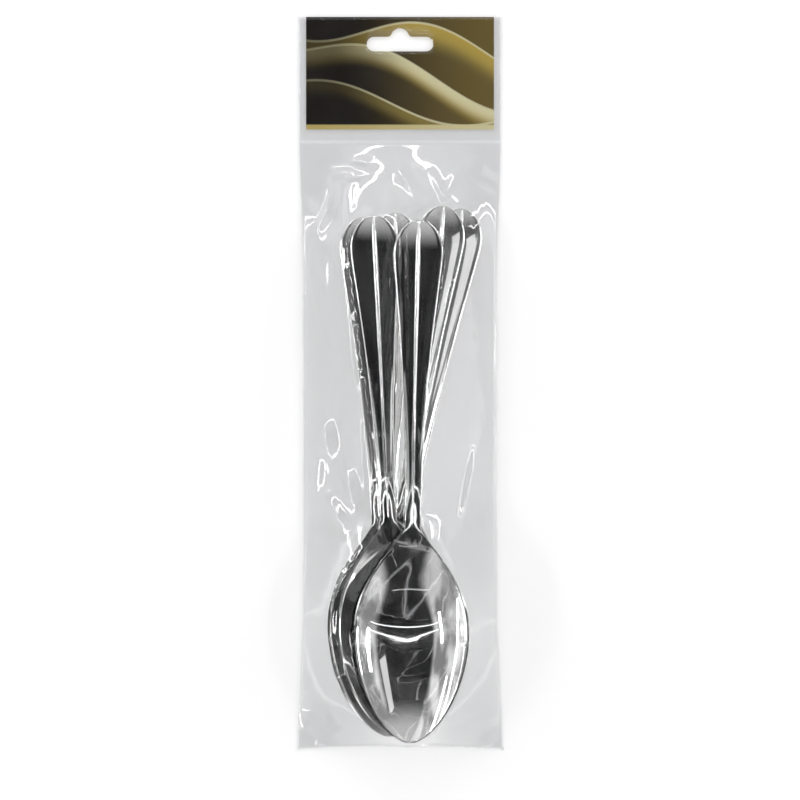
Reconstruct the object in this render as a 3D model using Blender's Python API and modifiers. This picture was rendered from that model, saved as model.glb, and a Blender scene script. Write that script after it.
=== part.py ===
"""Clear header bag with six nested metallised plastic tablespoons and a printed header card.

The pack lies on its back, as it rests on a table. X runs across the bag, +Y points to the
header and +Z up. The origin is the middle of the pack's footprint, on the table.
All sizes are in metres.
"""
import math

import bmesh
import bpy
import numpy as np
from mathutils import Matrix, Vector
from mathutils.bvhtree import BVHTree

# Spoon outline, seen from above
SPOON_LENGTH = 0.187
HANDLE_WIDTH = 0.018
HANDLE_END_LENGTH = 0.012  # from the round end to the widest place
HANDLE_TAPER_LENGTH = 0.045
HANDLE_TAPER_POWER = 1.3
NECK_WIDTH = 0.0046
BOWL_WIDTH = 0.0415
BOWL_LENGTH = 0.078
BOWL_TIP_LENGTH = 0.038  # from the widest place to the tip
BOWL_TIP_POWER = 1.78
BOWL_SHOULDER_POWER = 1.12

# Spoon section and side view
SPOON_WALL = 0.0009
BOWL_DEPTH = 0.0075
BOWL_TIP_DEPTH_POWER = 2.4
BOWL_SECTION_POWER = 2.0
NECK_RISE = 0.0015
HANDLE_DROP = 0.0075
HANDLE_CROWN = 0.0009
RIDGE_HEIGHT = 0.0006
RIDGE_SHARE = 0.3  # of the handle's half width
RIDGE_RUN_OUT = 0.003  # over which the ridge starts at the handle's end
SPOON_END_WIDTH = 0.0016

# How the spoons lie: distance of the tip from the bag's middle line and from the foot weld,
# the handle's lean to the right and the roll about the spoon's own length
SPOON_LAY = (
    # across, up, lean, roll
    (-0.0120, 0.0110, 11.0, 5.5),
    (-0.0096, 0.0102, 8.1, 5.0),
    (-0.0058, 0.0059, 1.4, 3.0),
    (-0.0032, 0.0044, -3.1, 1.0),
    (0.0000, 0.0048, -3.0, -2.0),
    (0.0034, 0.0030, 0.9, -5.0),
)
STACK_GAP = 0.0003
FILM_GAP = 0.0003
MAX_PITCH = 4.0
SEATING_ROUNDS = 10
SEATING_STEP = 0.7  # share of the tilt still missing that each round takes up

# Bag
FILM = 0.0001
WELD_WIDTH = 0.0010
MARGIN_STEP = 0.0003  # the header's side margins end this far below the top of its pocket
HEADER_HEIGHT = 0.0455
HEAD_ROOM = 0.0239  # from the topmost handle to the header seam
SIDE_ROOM = 0.0170  # from a centred bowl's rim to the bag's edge at the foot
WAIST_PULL_IN = 0.0021
WAIST_EASE = 0.25  # share of the pouch over which its side curves in, at the foot and at the header
HEADER_PULL_IN = 0.0006
FOOT_ARCH = 0.0013
WELD_LIFT = 0.75  # height of a free weld as a share of the middle between the two films
FILM_LAYERS_APART = 0.0006
VENT_DIAMETER = 0.003
VENT_BELOW_SEAM = 0.012

# Header card, its pocket and the hang slot
CARD_WIDTH = 0.0684
CARD_HEIGHT = 0.0410
CARD_THICKNESS = 0.0004
CARD_GAP = 0.0002
SLOT_WIDTH = 0.0242
SLOT_HEIGHT = 0.0053
SLOT_BELOW_TOP = 0.0099  # from the top edge to the middle of the slot's straight part
SLOT_HUMP_RADIUS = 0.0033
SLOT_HUMP_RISE = 0.0031  # how far the hump stands above the straight part
SLOT_FLARE = 0.0015

# Mesh fineness
HANDLE_ROWS = 10
NECK_ROWS = 6
BOWL_ROWS = 12
SPOON_COLUMNS = (-1.0, -0.7, -RIDGE_SHARE, 0.0, RIDGE_SHARE, 0.7, 1.0)
FLANK_COLUMNS = 4  # of the film, from each side weld's edge to the spoons
MIDDLE_COLUMNS = 8  # over the spoons
FILM_ROWS = 41
ROW_CROWDING = 1.25  # above 1 the rows stand closer together at the foot
FILM_EDGE_CELL = 0.0018
OUTLINE_STEP = 0.0004  # between the places where the spoons' outline is looked for
OUTLINE_MARGIN = 0.0009  # from that outline to the columns of the film that follow it
CELL_SAMPLES = 7
RELAX_STEPS = 1500
ARC_STEPS = 8

# Worked out from the above
UPPERMOST_REACH = max(up + SPOON_LENGTH * math.cos(math.radians(lean)) for _, up, lean, _ in SPOON_LAY)
POUCH_LENGTH = WELD_WIDTH + FOOT_ARCH + UPPERMOST_REACH + HEAD_ROOM
BAG_LENGTH = POUCH_LENGTH + HEADER_HEIGHT
TOP_Y = BAG_LENGTH / 2
FOOT_Y = -BAG_LENGTH / 2
SEAM_Y = TOP_Y - HEADER_HEIGHT
FOOT_HALF_WIDTH = BOWL_WIDTH / 2 + SIDE_ROOM
POCKET_THICKNESS = CARD_THICKNESS + 2 * CARD_GAP
HEADER_THICKNESS = POCKET_THICKNESS + 2 * FILM
SEAM_HEIGHT = HEADER_THICKNESS / 2
WIDEST_AT = SPOON_LENGTH - BOWL_TIP_LENGTH
BOWL_START = SPOON_LENGTH - BOWL_LENGTH
FILM_COLUMNS = MIDDLE_COLUMNS + 2 * FLANK_COLUMNS + 2


def clear_scene():
    for thing in list(bpy.data.objects):
        bpy.data.objects.remove(thing, do_unlink=True)


def make_collection(name):
    collection = bpy.data.collections.new(name)
    bpy.context.scene.collection.children.link(collection)
    return collection


def make_material(name, color, roughness, metallic=0.0, alpha=1.0):
    material = bpy.data.materials.new(name)
    material.use_nodes = True
    shader = material.node_tree.nodes["Principled BSDF"]
    shader.inputs["Base Color"].default_value = (*color, 1.0)
    shader.inputs["Roughness"].default_value = roughness
    shader.inputs["Metallic"].default_value = metallic
    shader.inputs["Alpha"].default_value = alpha
    return material


def add_object(name, bm, collection, material=None):
    mesh = bpy.data.meshes.new(name)
    bm.to_mesh(mesh)
    bm.free()
    piece = bpy.data.objects.new(name, mesh)
    collection.objects.link(piece)
    if material:
        mesh.materials.append(material)
    return piece


def smooth_step(low, high, value):
    t = min(max((value - low) / (high - low), 0.0), 1.0)
    return t * t * (3 - 2 * t)


# The spoon. s is the distance from the handle's end, u runs from -1 to 1 across.
def handle_half_width(s):
    if s < HANDLE_END_LENGTH:
        rise = 1 - s / HANDLE_END_LENGTH
        return HANDLE_WIDTH / 2 * math.sqrt(1 - rise * rise)
    slimming = ((s - HANDLE_END_LENGTH) / HANDLE_TAPER_LENGTH) ** HANDLE_TAPER_POWER
    return NECK_WIDTH / 2 + (HANDLE_WIDTH - NECK_WIDTH) / 2 * math.exp(-slimming)


def bowl_half_width(s):
    if s >= WIDEST_AT:
        r = min((s - WIDEST_AT) / BOWL_TIP_LENGTH, 1.0)
        return BOWL_WIDTH / 2 * (1 - r ** BOWL_TIP_POWER) ** (1 / BOWL_TIP_POWER)
    r = min((WIDEST_AT - s) / (BOWL_LENGTH - BOWL_TIP_LENGTH), 1.0)
    return BOWL_WIDTH / 2 * math.cos(math.pi / 2 * r ** BOWL_SHOULDER_POWER)


def spoon_half_width(s):
    handle = handle_half_width(s) * (1 - smooth_step(BOWL_START, WIDEST_AT, s))
    outline = (handle ** 3 + max(bowl_half_width(s), 0.0) ** 3) ** (1 / 3)
    return max(outline, SPOON_END_WIDTH / 2)


def bowl_depth(s):
    half_length = BOWL_LENGTH / 2
    r = (s - BOWL_START - half_length) / half_length
    if r <= -1:
        return 0.0
    if r < 0:
        return BOWL_DEPTH * math.cos(math.pi / 2 * r) ** 2
    return BOWL_DEPTH * (1 - min(r, 1.0) ** BOWL_TIP_DEPTH_POWER)


def rim_height(s):
    """Side view of the spoon's edge: level along the bowl, arched over the neck, down to the end."""
    arch_length = BOWL_START + BOWL_LENGTH / 6
    q = max(0.0, 1 - s / arch_length)
    return NECK_RISE * math.sin(math.pi * q) - HANDLE_DROP * q * q


def spoon_surface(s, u):
    """A point of the spoon's upper face, with the tip at the origin and the handle along +Y."""
    on_handle = 1 - smooth_step(BOWL_START - BOWL_LENGTH / 5, BOWL_START + BOWL_LENGTH / 20, s)
    from_end = min(handle_half_width(s) / (HANDLE_WIDTH / 2), 1.0) if s < HANDLE_END_LENGTH else 1.0
    crown = HANDLE_CROWN * on_handle * from_end ** 2 * (1 - u * u)
    ridge = RIDGE_HEIGHT * on_handle * max(0.0, 1 - abs(u) / RIDGE_SHARE) * smooth_step(0, RIDGE_RUN_OUT, s)
    hollow = bowl_depth(s) * (1 - abs(u) ** BOWL_SECTION_POWER)
    return Vector((u * spoon_half_width(s), SPOON_LENGTH - s, rim_height(s) + crown + ridge - hollow))


def spoon_stations():
    """Distances from the handle's end, closer together at the two round ends."""
    neck_from = BOWL_START - BOWL_LENGTH / 5
    neck_to = BOWL_START + BOWL_LENGTH / 4
    handle = [neck_from * (1 - math.cos(math.pi / 2 * i / HANDLE_ROWS)) for i in range(HANDLE_ROWS)]
    neck = [neck_from + (neck_to - neck_from) * i / NECK_ROWS for i in range(NECK_ROWS)]
    bowl = [neck_to + (SPOON_LENGTH - neck_to) * math.sin(math.pi / 2 * i / BOWL_ROWS)
            for i in range(BOWL_ROWS + 1)]
    return handle + neck + bowl


def grid_mesh(columns, rows, place):
    """A triangulated grid whose vertex in column j and row i lies at place(i, j), facing up."""
    bm = bmesh.new()
    bmesh.ops.create_grid(bm, x_segments=columns - 1, y_segments=rows - 1, size=1)
    bmesh.ops.triangulate(bm, faces=bm.faces[:], quad_method='FIXED')
    for vertex in bm.verts:
        j = round((vertex.co.x + 1) / 2 * (columns - 1))
        i = round((vertex.co.y + 1) / 2 * (rows - 1))
        vertex.co = place(i, j)
    bm.normal_update()
    return bm


def make_spoon_mesh(material):
    stations = spoon_stations()
    stations.reverse()
    bm = grid_mesh(len(SPOON_COLUMNS), len(stations),
                   lambda i, j: spoon_surface(stations[i], SPOON_COLUMNS[j]))
    mesh = bpy.data.meshes.new("spoon")
    bm.to_mesh(mesh)
    bm.free()
    mesh.materials.append(material)
    mesh.shade_smooth()
    return mesh


def make_spoon(name, mesh, collection):
    spoon = bpy.data.objects.new(name, mesh)
    collection.objects.link(spoon)
    wall = spoon.modifiers.new("wall", 'SOLIDIFY')
    wall.thickness = SPOON_WALL
    wall.offset = -1.0
    wall.use_even_offset = True
    return spoon


def evaluated_shape(piece):
    """Vertices and faces of a piece with its modifiers, in its own frame."""
    evaluated = piece.evaluated_get(bpy.context.evaluated_depsgraph_get())
    mesh = evaluated.to_mesh()
    vertices = [v.co.copy() for v in mesh.vertices]
    faces = [tuple(p.vertices) for p in mesh.polygons]
    evaluated.to_mesh_clear()
    return vertices, faces


def lay_matrix(across, up, lean, roll, pitch, height):
    """Places a spoon by its tip. The tip is at the own origin, so it pivots there."""
    foot = FOOT_Y + FOOT_ARCH + WELD_WIDTH
    turn = (Matrix.Rotation(math.radians(-lean), 4, 'Z')
            @ Matrix.Rotation(math.radians(pitch), 4, 'X')
            @ Matrix.Rotation(math.radians(roll), 4, 'Y'))
    return Matrix.Translation((across, foot + up, height)) @ turn


def sample_points(vertices, faces):
    """The corners, the middles of the edges and the middle of each face."""
    points = list(vertices)
    for face in faces:
        corners = [vertices[i] for i in face]
        points.append(sum(corners, Vector()) / len(corners))
        for a, b in zip(corners, corners[1:] + corners[:1]):
            points.append((a + b) / 2)
    return points


def lift_needed(points, tree_below, points_below, tree, floor):
    """How far a spoon has to rise to clear what is under it by STACK_GAP, for bowl and handle."""
    split = FOOT_Y + BOWL_LENGTH
    lift = {"bowl": -1.0, "handle": -1.0}
    up = Vector((0, 0, 1))

    def note(y, amount):
        zone = "bowl" if y < split else "handle"
        lift[zone] = max(lift[zone], amount)

    for point in points:
        note(point.y, floor - point.z)
        if tree_below:
            hit = tree_below.ray_cast(Vector((point.x, point.y, 1)), -up)[0]
            if hit:
                note(point.y, hit.z + STACK_GAP - point.z)
    for point in points_below:
        hit = tree.ray_cast(Vector((point.x, point.y, -1)), up)[0]
        if hit:
            note(point.y, point.z + STACK_GAP - hit.z)
    return lift


def seat_spoon(shape, lay, below, floor):
    """Lowers a spoon until both its bowl and its handle rest on what lies below."""
    vertices, faces = shape
    samples = sample_points(vertices, faces)
    tree_below, points_below = below
    pitch, height = 0.0, 0.05
    for _ in range(SEATING_ROUNDS):
        matrix = lay_matrix(*lay, pitch, height)
        points = [matrix @ p for p in samples]
        tree = BVHTree.FromPolygons([matrix @ v for v in vertices], faces)
        lift = lift_needed(points, tree_below, points_below, tree, floor)
        height += max(lift.values())
        tilt = (lift["handle"] - lift["bowl"]) / (SPOON_LENGTH - BOWL_LENGTH / 2)
        pitch = min(max(pitch + SEATING_STEP * math.degrees(tilt), -MAX_PITCH), MAX_PITCH)
    for _ in range(2):
        matrix = lay_matrix(*lay, pitch, height)
        points = [matrix @ p for p in samples]
        tree = BVHTree.FromPolygons([matrix @ v for v in vertices], faces)
        height += max(lift_needed(points, tree_below, points_below, tree, floor).values())
    return lay_matrix(*lay, pitch, height)


def lay_spoons(mesh, collection):
    """Nests the spoons one on the other and gives back all their faces in the bag."""
    all_vertices, all_faces = [], []
    below = (None, [])
    floor = FILM + FILM_GAP
    for number, lay in enumerate(SPOON_LAY, start=1):
        spoon = make_spoon("spoon_%d" % number, mesh, collection)
        shape = evaluated_shape(spoon)
        matrix = seat_spoon(shape, lay, below, floor)
        spoon.matrix_world = matrix
        placed = [matrix @ v for v in shape[0]]
        start = len(all_vertices)
        all_vertices.extend(placed)
        all_faces.extend(tuple(start + i for i in face) for face in shape[1])
        below = (BVHTree.FromPolygons(all_vertices, all_faces), sample_points(all_vertices, all_faces))
    return all_vertices, all_faces


# The bag. Row i runs from the foot to the seam, column j from left to right.
def bag_half_width(y):
    """Half the bag's width: narrowest where the spoons fill it, wider at header and foot."""
    header = FOOT_HALF_WIDTH - HEADER_PULL_IN
    waist = FOOT_HALF_WIDTH - WAIST_PULL_IN
    pouch = SEAM_Y - FOOT_Y
    from_foot = smooth_step(FOOT_Y, FOOT_Y + pouch * WAIST_EASE, y)
    to_header = smooth_step(SEAM_Y - pouch * WAIST_EASE, SEAM_Y, y)
    return FOOT_HALF_WIDTH + (waist - FOOT_HALF_WIDTH) * from_foot + (header - waist) * to_header


def foot_line(x):
    """The foot's edge, pulled up a little in the middle by what fills the bag."""
    return FOOT_Y + FOOT_ARCH * (1 - (x / FOOT_HALF_WIDTH) ** 2)


def film_row_shares():
    """Where the film's rows stand, from 0 at the foot weld to 1 at the header seam."""
    length = POUCH_LENGTH - WELD_WIDTH
    edge = FILM_EDGE_CELL / length
    inner = [edge + (1 - 2 * edge) * (i / (FILM_ROWS - 2)) ** ROW_CROWDING for i in range(FILM_ROWS - 1)]
    return [0.0] + inner + [1.0]


def spoon_outline(levels, tree):
    """The leftmost and the rightmost place with a spoon at each level, held on past both ends."""
    places = np.arange(-FOOT_HALF_WIDTH, FOOT_HALF_WIDTH, OUTLINE_STEP)
    down = Vector((0, 0, -1))
    found = []
    for y in levels:
        hits = [x for x in places if tree.ray_cast(Vector((x, y, 1)), down)[0]]
        found.append((hits[0], hits[-1]) if hits else None)
    known = [k for k, edges in enumerate(found) if edges]
    nearest = [min(known, key=lambda k: abs(k - row)) for row in range(len(levels))]
    return [(found[k][0] - OUTLINE_MARGIN, found[k][1] + OUTLINE_MARGIN) for k in nearest]


def film_plan(tree):
    """Plan positions of the film's grid inside the welds. Its columns follow the spoons' outline."""
    shares = film_row_shares()
    levels = [FOOT_Y + WELD_WIDTH + t * (SEAM_Y - FOOT_Y - WELD_WIDTH) for t in shares]
    xs = np.zeros((FILM_ROWS + 1, FILM_COLUMNS + 1))
    ys = np.zeros_like(xs)
    for i, (left, right) in enumerate(spoon_outline(levels, tree)):
        half = bag_half_width(levels[i]) - WELD_WIDTH
        edge = half - FILM_EDGE_CELL
        inner = np.concatenate((np.linspace(-edge, left, FLANK_COLUMNS + 1),
                                np.linspace(left, right, MIDDLE_COLUMNS + 1)[1:-1],
                                np.linspace(right, edge, FLANK_COLUMNS + 1)))
        xs[i] = np.concatenate(([-half], inner, [half]))
        low = foot_line(xs[i]) + WELD_WIDTH
        ys[i] = low + shares[i] * (SEAM_Y - low)
    return xs, ys


def spoon_heights(xs, ys, tree):
    """Highest and lowest spoon surface in the grid cells that meet at each grid point."""
    top = np.full(xs.shape, -np.inf)
    low = np.full(xs.shape, np.inf)
    steps = CELL_SAMPLES
    for i in range(xs.shape[0] - 1):
        for j in range(xs.shape[1] - 1):
            for a in range(steps + 1):
                for b in range(steps + 1):
                    p, q = a / steps, b / steps
                    weights = ((1 - p) * (1 - q), p * (1 - q), (1 - p) * q, p * q)
                    cell = ((i, j), (i + 1, j), (i, j + 1), (i + 1, j + 1))
                    x = sum(w * xs[c] for w, c in zip(weights, cell))
                    y = sum(w * ys[c] for w, c in zip(weights, cell))
                    down = tree.ray_cast(Vector((x, y, 1)), Vector((0, 0, -1)))[0]
                    if not down:
                        continue
                    up = tree.ray_cast(Vector((x, y, -1)), Vector((0, 0, 1)))[0]
                    for c in cell:
                        top[c] = max(top[c], down.z)
                        low[c] = min(low[c], up.z)
    return top, low


def neighbour_weights(before, after):
    """Weights of the two neighbours along one direction of an uneven grid, from the distances to them."""
    total = before + after
    return 2 / (before * total), 2 / (after * total)


def relax_films(xs, ys, top, low):
    """Heights of the front and the back film, each pulled taut over the spoons and the table."""
    over = top + FILM_GAP + FILM / 2
    under = low - FILM_GAP - FILM / 2
    across, along = np.diff(xs, axis=1)[1:-1], np.diff(ys, axis=0)[:, 1:-1]
    left, right = neighbour_weights(across[:, :-1], across[:, 1:])
    down, up = neighbour_weights(along[:-1], along[1:])
    total = left + right + down + up
    front = np.full(xs.shape, SEAM_HEIGHT)
    back = front.copy()
    for _ in range(RELAX_STEPS):
        for film in (front, back):
            film[1:-1, 1:-1] = (left * film[1:-1, :-2] + right * film[1:-1, 2:]
                                + down * film[:-2, 1:-1] + up * film[2:, 1:-1]) / total
        apart = (FILM_LAYERS_APART - (front - back)).clip(min=0)[1:-1, 1:-1]
        front[1:-1, 1:-1] += apart / 2
        back[1:-1, 1:-1] -= apart / 2
        front[1:-1, 1:-1] = np.maximum(front, over)[1:-1, 1:-1]
        back[1:-1, 1:-1] = np.minimum(back, under)[1:-1, 1:-1]
        back[:] = np.maximum(back, FILM / 2)
        front[1:-1, 1:-1] = np.maximum(front, back + FILM_LAYERS_APART)[1:-1, 1:-1]
        weld = WELD_LIFT * (front + back) / 2
        weld = np.maximum(weld, SEAM_HEIGHT)
        for film in (front, back):
            film[:-1, 0] = weld[:-1, 1]
            film[:-1, -1] = weld[:-1, -2]
            film[0, 1:-1] = weld[1, 1:-1]
            film[0, 0] = weld[1, 1]
            film[0, -1] = weld[1, -2]
    return front, back


def film_normals(xs, ys, heights):
    """Unit normals of a height field, pointing up."""
    points = np.stack((xs, ys, heights), axis=-1)
    along_x = np.gradient(points, axis=1)
    along_y = np.gradient(points, axis=0)
    normals = np.cross(along_x, along_y)
    return points, normals / np.linalg.norm(normals, axis=-1, keepdims=True)


def film_face(xs, ys, heights, side, inner):
    """Points of one face of one film. side is 1 for the front film and -1 for the back film."""
    points, normals = film_normals(xs, ys, heights)
    shift = -side if inner else side
    faces = points + shift * normals * FILM / 2
    border = np.ones(heights.shape, dtype=bool)
    border[1:-1, 1:-1] = False
    faces[border] = points[border]
    if not inner:
        faces[border, 2] += side * FILM
    return faces


def add_weld_border(face):
    """Adds the flat weld strips: both sides, the foot, and the header sheet above the seam."""
    rows, columns = face.shape[0] + 2, face.shape[1] + 2
    full = np.zeros((rows, columns, 3))
    full[1:-1, 1:-1] = face
    full[1:-1, 0] = face[:, 0] - (WELD_WIDTH, 0, 0)
    full[1:-1, -1] = face[:, -1] + (WELD_WIDTH, 0, 0)
    full[0] = full[1]
    full[0, :, 1] = [foot_line(x) for x in full[1, :, 0]]
    full[-1] = full[-2]
    full[-1, :, 1] = TOP_Y - MARGIN_STEP
    return full


def remove_flat_corners(bm):
    """Takes out the triangles left alone where both sheets had one corner triangle on the weld."""
    alone = [face for face in bm.faces if any(edge.is_boundary for edge in face.edges)]
    bmesh.ops.delete(bm, geom=alone, context='FACES')


def closed_from_sheets(front, back, bridged):
    """One closed mesh from a front and a back grid whose borders are bridged or shared."""
    rows, columns = front.shape[:2]
    bm = grid_mesh(columns, rows, lambda i, j: Vector(front[i, j]))
    under = grid_mesh(columns, rows, lambda i, j: Vector(back[i, j]))
    bmesh.ops.reverse_faces(under, faces=under.faces[:])
    scratch = bpy.data.meshes.new("back_sheet")
    under.to_mesh(scratch)
    under.free()
    bm.from_mesh(scratch)
    bpy.data.meshes.remove(scratch)
    if bridged:
        bmesh.ops.bridge_loops(bm, edges=[e for e in bm.edges if e.is_boundary])
    else:
        bmesh.ops.remove_doubles(bm, verts=bm.verts[:], dist=1e-7)
        remove_flat_corners(bm)
    bmesh.ops.recalc_face_normals(bm, faces=bm.faces[:])
    return bm


def box_mesh(low, high):
    """A box between two corners."""
    bm = bmesh.new()
    bmesh.ops.create_cube(bm, size=1)
    size = Vector(high) - Vector(low)
    middle = (Vector(high) + Vector(low)) / 2
    bmesh.ops.scale(bm, vec=size, verts=bm.verts[:])
    bmesh.ops.translate(bm, vec=middle, verts=bm.verts[:])
    return bm


def arc(middle, radius, start, end, steps=ARC_STEPS):
    """Points on an arc, angles in degrees."""
    angles = [math.radians(start + (end - start) * i / steps) for i in range(steps + 1)]
    return [(middle[0] + radius * math.cos(a), middle[1] + radius * math.sin(a)) for a in angles]


def slot_outline():
    """The hang slot: a long round-ended slot with a hump in its upper edge, flared at its foot."""
    y = TOP_Y - SLOT_BELOW_TOP
    end_radius = SLOT_HEIGHT / 2
    end_x = SLOT_WIDTH / 2 - end_radius
    top = y + end_radius
    hump_y = top + SLOT_HUMP_RISE - SLOT_HUMP_RADIUS
    flare_y = top + SLOT_FLARE
    reach = math.acos((flare_y - hump_y) / (SLOT_HUMP_RADIUS + SLOT_FLARE))
    flare_x = (SLOT_HUMP_RADIUS + SLOT_FLARE) * math.sin(reach)
    turn = math.degrees(reach)
    right = arc((end_x, y), end_radius, -90, 90)
    right_flare = arc((flare_x, flare_y), SLOT_FLARE, 270, 270 - turn, ARC_STEPS // 2)
    hump = arc((0, hump_y), SLOT_HUMP_RADIUS, 90 - turn, 90 + turn)
    left_flare = arc((-flare_x, flare_y), SLOT_FLARE, 270 + turn, 270, ARC_STEPS // 2)
    left = arc((-end_x, y), end_radius, 90, 270)
    return right + right_flare + hump[1:-1] + left_flare + left


def slot_mesh():
    """The slot's outline as a solid that passes through the header."""
    bm = bmesh.new()
    depth = HEADER_THICKNESS
    face = bm.faces.new([bm.verts.new((x, y, -depth)) for x, y in slot_outline()])
    pulled = bmesh.ops.extrude_face_region(bm, geom=[face])
    moved = [v for v in pulled["geom"] if isinstance(v, bmesh.types.BMVert)]
    bmesh.ops.translate(bm, vec=(0, 0, 3 * depth), verts=moved)
    bmesh.ops.recalc_face_normals(bm, faces=bm.faces[:])
    return bm


def make_cutter(name, bm, collection):
    cutter = add_object(name, bm, collection)
    cutter.hide_render = True
    cutter.display_type = 'WIRE'
    return cutter


def cut(piece, tool, operation='DIFFERENCE'):
    change = piece.modifiers.new(tool.name, 'BOOLEAN')
    change.operation = operation
    change.object = tool
    change.solver = 'EXACT'


def vent_mesh(xs, ys, front, back):
    """A round hole through the back film only, below the header seam."""
    row = int(np.argmin(abs(ys[:, FILM_COLUMNS // 2] - (SEAM_Y - VENT_BELOW_SEAM))))
    column = FILM_COLUMNS // 2
    between = (front[row, column] + back[row, column]) / 2
    bm = bmesh.new()
    bmesh.ops.create_cone(bm, cap_ends=True, segments=12, radius1=VENT_DIAMETER / 2,
                          radius2=VENT_DIAMETER / 2, depth=2 * between)
    bmesh.ops.translate(bm, vec=(xs[row, column], SEAM_Y - VENT_BELOW_SEAM, 0), verts=bm.verts[:])
    return bm


def make_bag(spoon_faces, collection, cutters, material, slot):
    tree = BVHTree.FromPolygons(*spoon_faces)
    xs, ys = film_plan(tree)
    top, low = spoon_heights(xs, ys, tree)
    front, back = relax_films(xs, ys, top, low)
    outside = [add_weld_border(film_face(xs, ys, film, side, False))
               for film, side in ((front, 1), (back, -1))]
    inside = [film_face(xs, ys, film, side, True) for film, side in ((front, 1), (back, -1))]
    bag = add_object("film_bag", closed_from_sheets(*outside, True), collection, material)
    pouch = make_cutter("pouch_inside", closed_from_sheets(*inside, False), cutters)
    vent = make_cutter("vent_hole", vent_mesh(xs, ys, front, back), cutters)
    half = CARD_WIDTH / 2 + CARD_GAP
    low_y = TOP_Y - CARD_HEIGHT - CARD_GAP
    cover = box_mesh((-half - FILM, low_y - FILM, 0), (half + FILM, TOP_Y, HEADER_THICKNESS))
    pocket = box_mesh((-half, low_y, FILM), (half, TOP_Y + CARD_HEIGHT, HEADER_THICKNESS - FILM))
    cut(bag, make_cutter("pocket_outside", cover, cutters), 'UNION')
    cut(bag, make_cutter("pocket_inside", pocket, cutters))
    cut(bag, pouch)
    cut(bag, vent)
    cut(bag, slot)
    return bag


def make_card(collection, material, slot):
    low = (-CARD_WIDTH / 2, TOP_Y - CARD_HEIGHT, FILM + CARD_GAP)
    high = (CARD_WIDTH / 2, TOP_Y, FILM + CARD_GAP + CARD_THICKNESS)
    card = add_object("header_card", box_mesh(low, high), collection, material)
    cut(card, slot)
    return card


def main():
    clear_scene()
    pack = make_collection("cutlery_pack")
    cutters = make_collection("cutters")
    film = make_material("clear_film", (0.86, 0.87, 0.88), 0.08, alpha=0.25)
    board = make_material("printed_card", (0.20, 0.15, 0.06), 0.35)
    metal = make_material("metallised_plastic", (0.72, 0.72, 0.71), 0.08, metallic=1.0)
    slot = make_cutter("hang_slot", slot_mesh(), cutters)
    spoon_faces = lay_spoons(make_spoon_mesh(metal), pack)
    make_bag(spoon_faces, pack, cutters, film, slot)
    make_card(pack, board, slot)


main()
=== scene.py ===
"""Looks for the cutlery pack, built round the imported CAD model.

The pack lies on its back: +X runs to the right, +Y to the header and +Z up to the camera.
All sizes are in metres unless a comment says otherwise.
"""
import math

import bmesh
import bpy
import numpy as np
from mathutils import Matrix, Vector
from mathutils.bvhtree import BVHTree


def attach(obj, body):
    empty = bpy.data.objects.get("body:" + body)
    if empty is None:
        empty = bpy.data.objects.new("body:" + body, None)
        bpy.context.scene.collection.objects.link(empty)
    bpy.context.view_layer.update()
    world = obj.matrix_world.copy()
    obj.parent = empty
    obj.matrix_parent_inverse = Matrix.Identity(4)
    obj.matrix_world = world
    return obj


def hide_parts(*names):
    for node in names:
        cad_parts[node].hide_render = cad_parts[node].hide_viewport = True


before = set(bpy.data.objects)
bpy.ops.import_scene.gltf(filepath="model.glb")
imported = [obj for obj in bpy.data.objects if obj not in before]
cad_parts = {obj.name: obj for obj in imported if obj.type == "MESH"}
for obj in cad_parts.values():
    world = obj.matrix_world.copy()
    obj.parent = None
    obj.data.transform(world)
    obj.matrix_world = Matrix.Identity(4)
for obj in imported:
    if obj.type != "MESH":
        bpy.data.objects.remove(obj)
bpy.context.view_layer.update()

# Spoon, as in the part's source
SPOON_LENGTH = 0.187
HANDLE_WIDTH = 0.018
HANDLE_END_LENGTH = 0.012
HANDLE_TAPER_LENGTH = 0.045
HANDLE_TAPER_POWER = 1.3
NECK_WIDTH = 0.0046
BOWL_WIDTH = 0.0415
BOWL_LENGTH = 0.078
BOWL_TIP_LENGTH = 0.038
BOWL_TIP_POWER = 1.78
BOWL_SHOULDER_POWER = 1.12
SPOON_WALL = 0.0009
BOWL_DEPTH = 0.0075
BOWL_TIP_DEPTH_POWER = 2.4
BOWL_SECTION_POWER = 2.0
NECK_RISE = 0.0015
HANDLE_DROP = 0.0075
HANDLE_CROWN = 0.0009
RIDGE_HEIGHT = 0.0006
RIDGE_RUN_OUT = 0.003
SPOON_END_WIDTH = 0.0016
NECK_BLEND_POWER = 3
SPOON_LAY = (
    # across, up, lean, roll
    (-0.0120, 0.0110, 11.0, 5.5),
    (-0.0096, 0.0102, 8.1, 5.0),
    (-0.0058, 0.0059, 1.4, 3.0),
    (-0.0032, 0.0044, -3.1, 1.0),
    (0.0000, 0.0048, -3.0, -2.0),
    (0.0034, 0.0030, 0.9, -5.0),
)

# Fine detail of the spoon. A share is one of the half width at the same place.
FINE_RIDGE_SHARE = 0.115
FINE_RIDGE_POWER = 1.5
BEAD_SHARE = 0.91
BEAD_HALF_WIDTH_SHARE = 0.07
BEAD_HEIGHT = 0.00022
LIP_SHARE = 0.955  # where the hollow of the bowl begins
EDGE_ROUNDING = 0.00022
ROUNDING_STEPS = 2
ROUNDED_ANGLE = 50  # degrees
FINE_ROWS = 150
# Shares across the spoon, closest together at the ridge, the bead and the edge
HALF_COLUMNS = (0.022, 0.045, 0.07, 0.095, 0.12, 0.20, 0.32, 0.44, 0.56, 0.67, 0.76, 0.84, 0.875, 0.91, 0.945,
                0.965, 0.98, 1.0)

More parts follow.
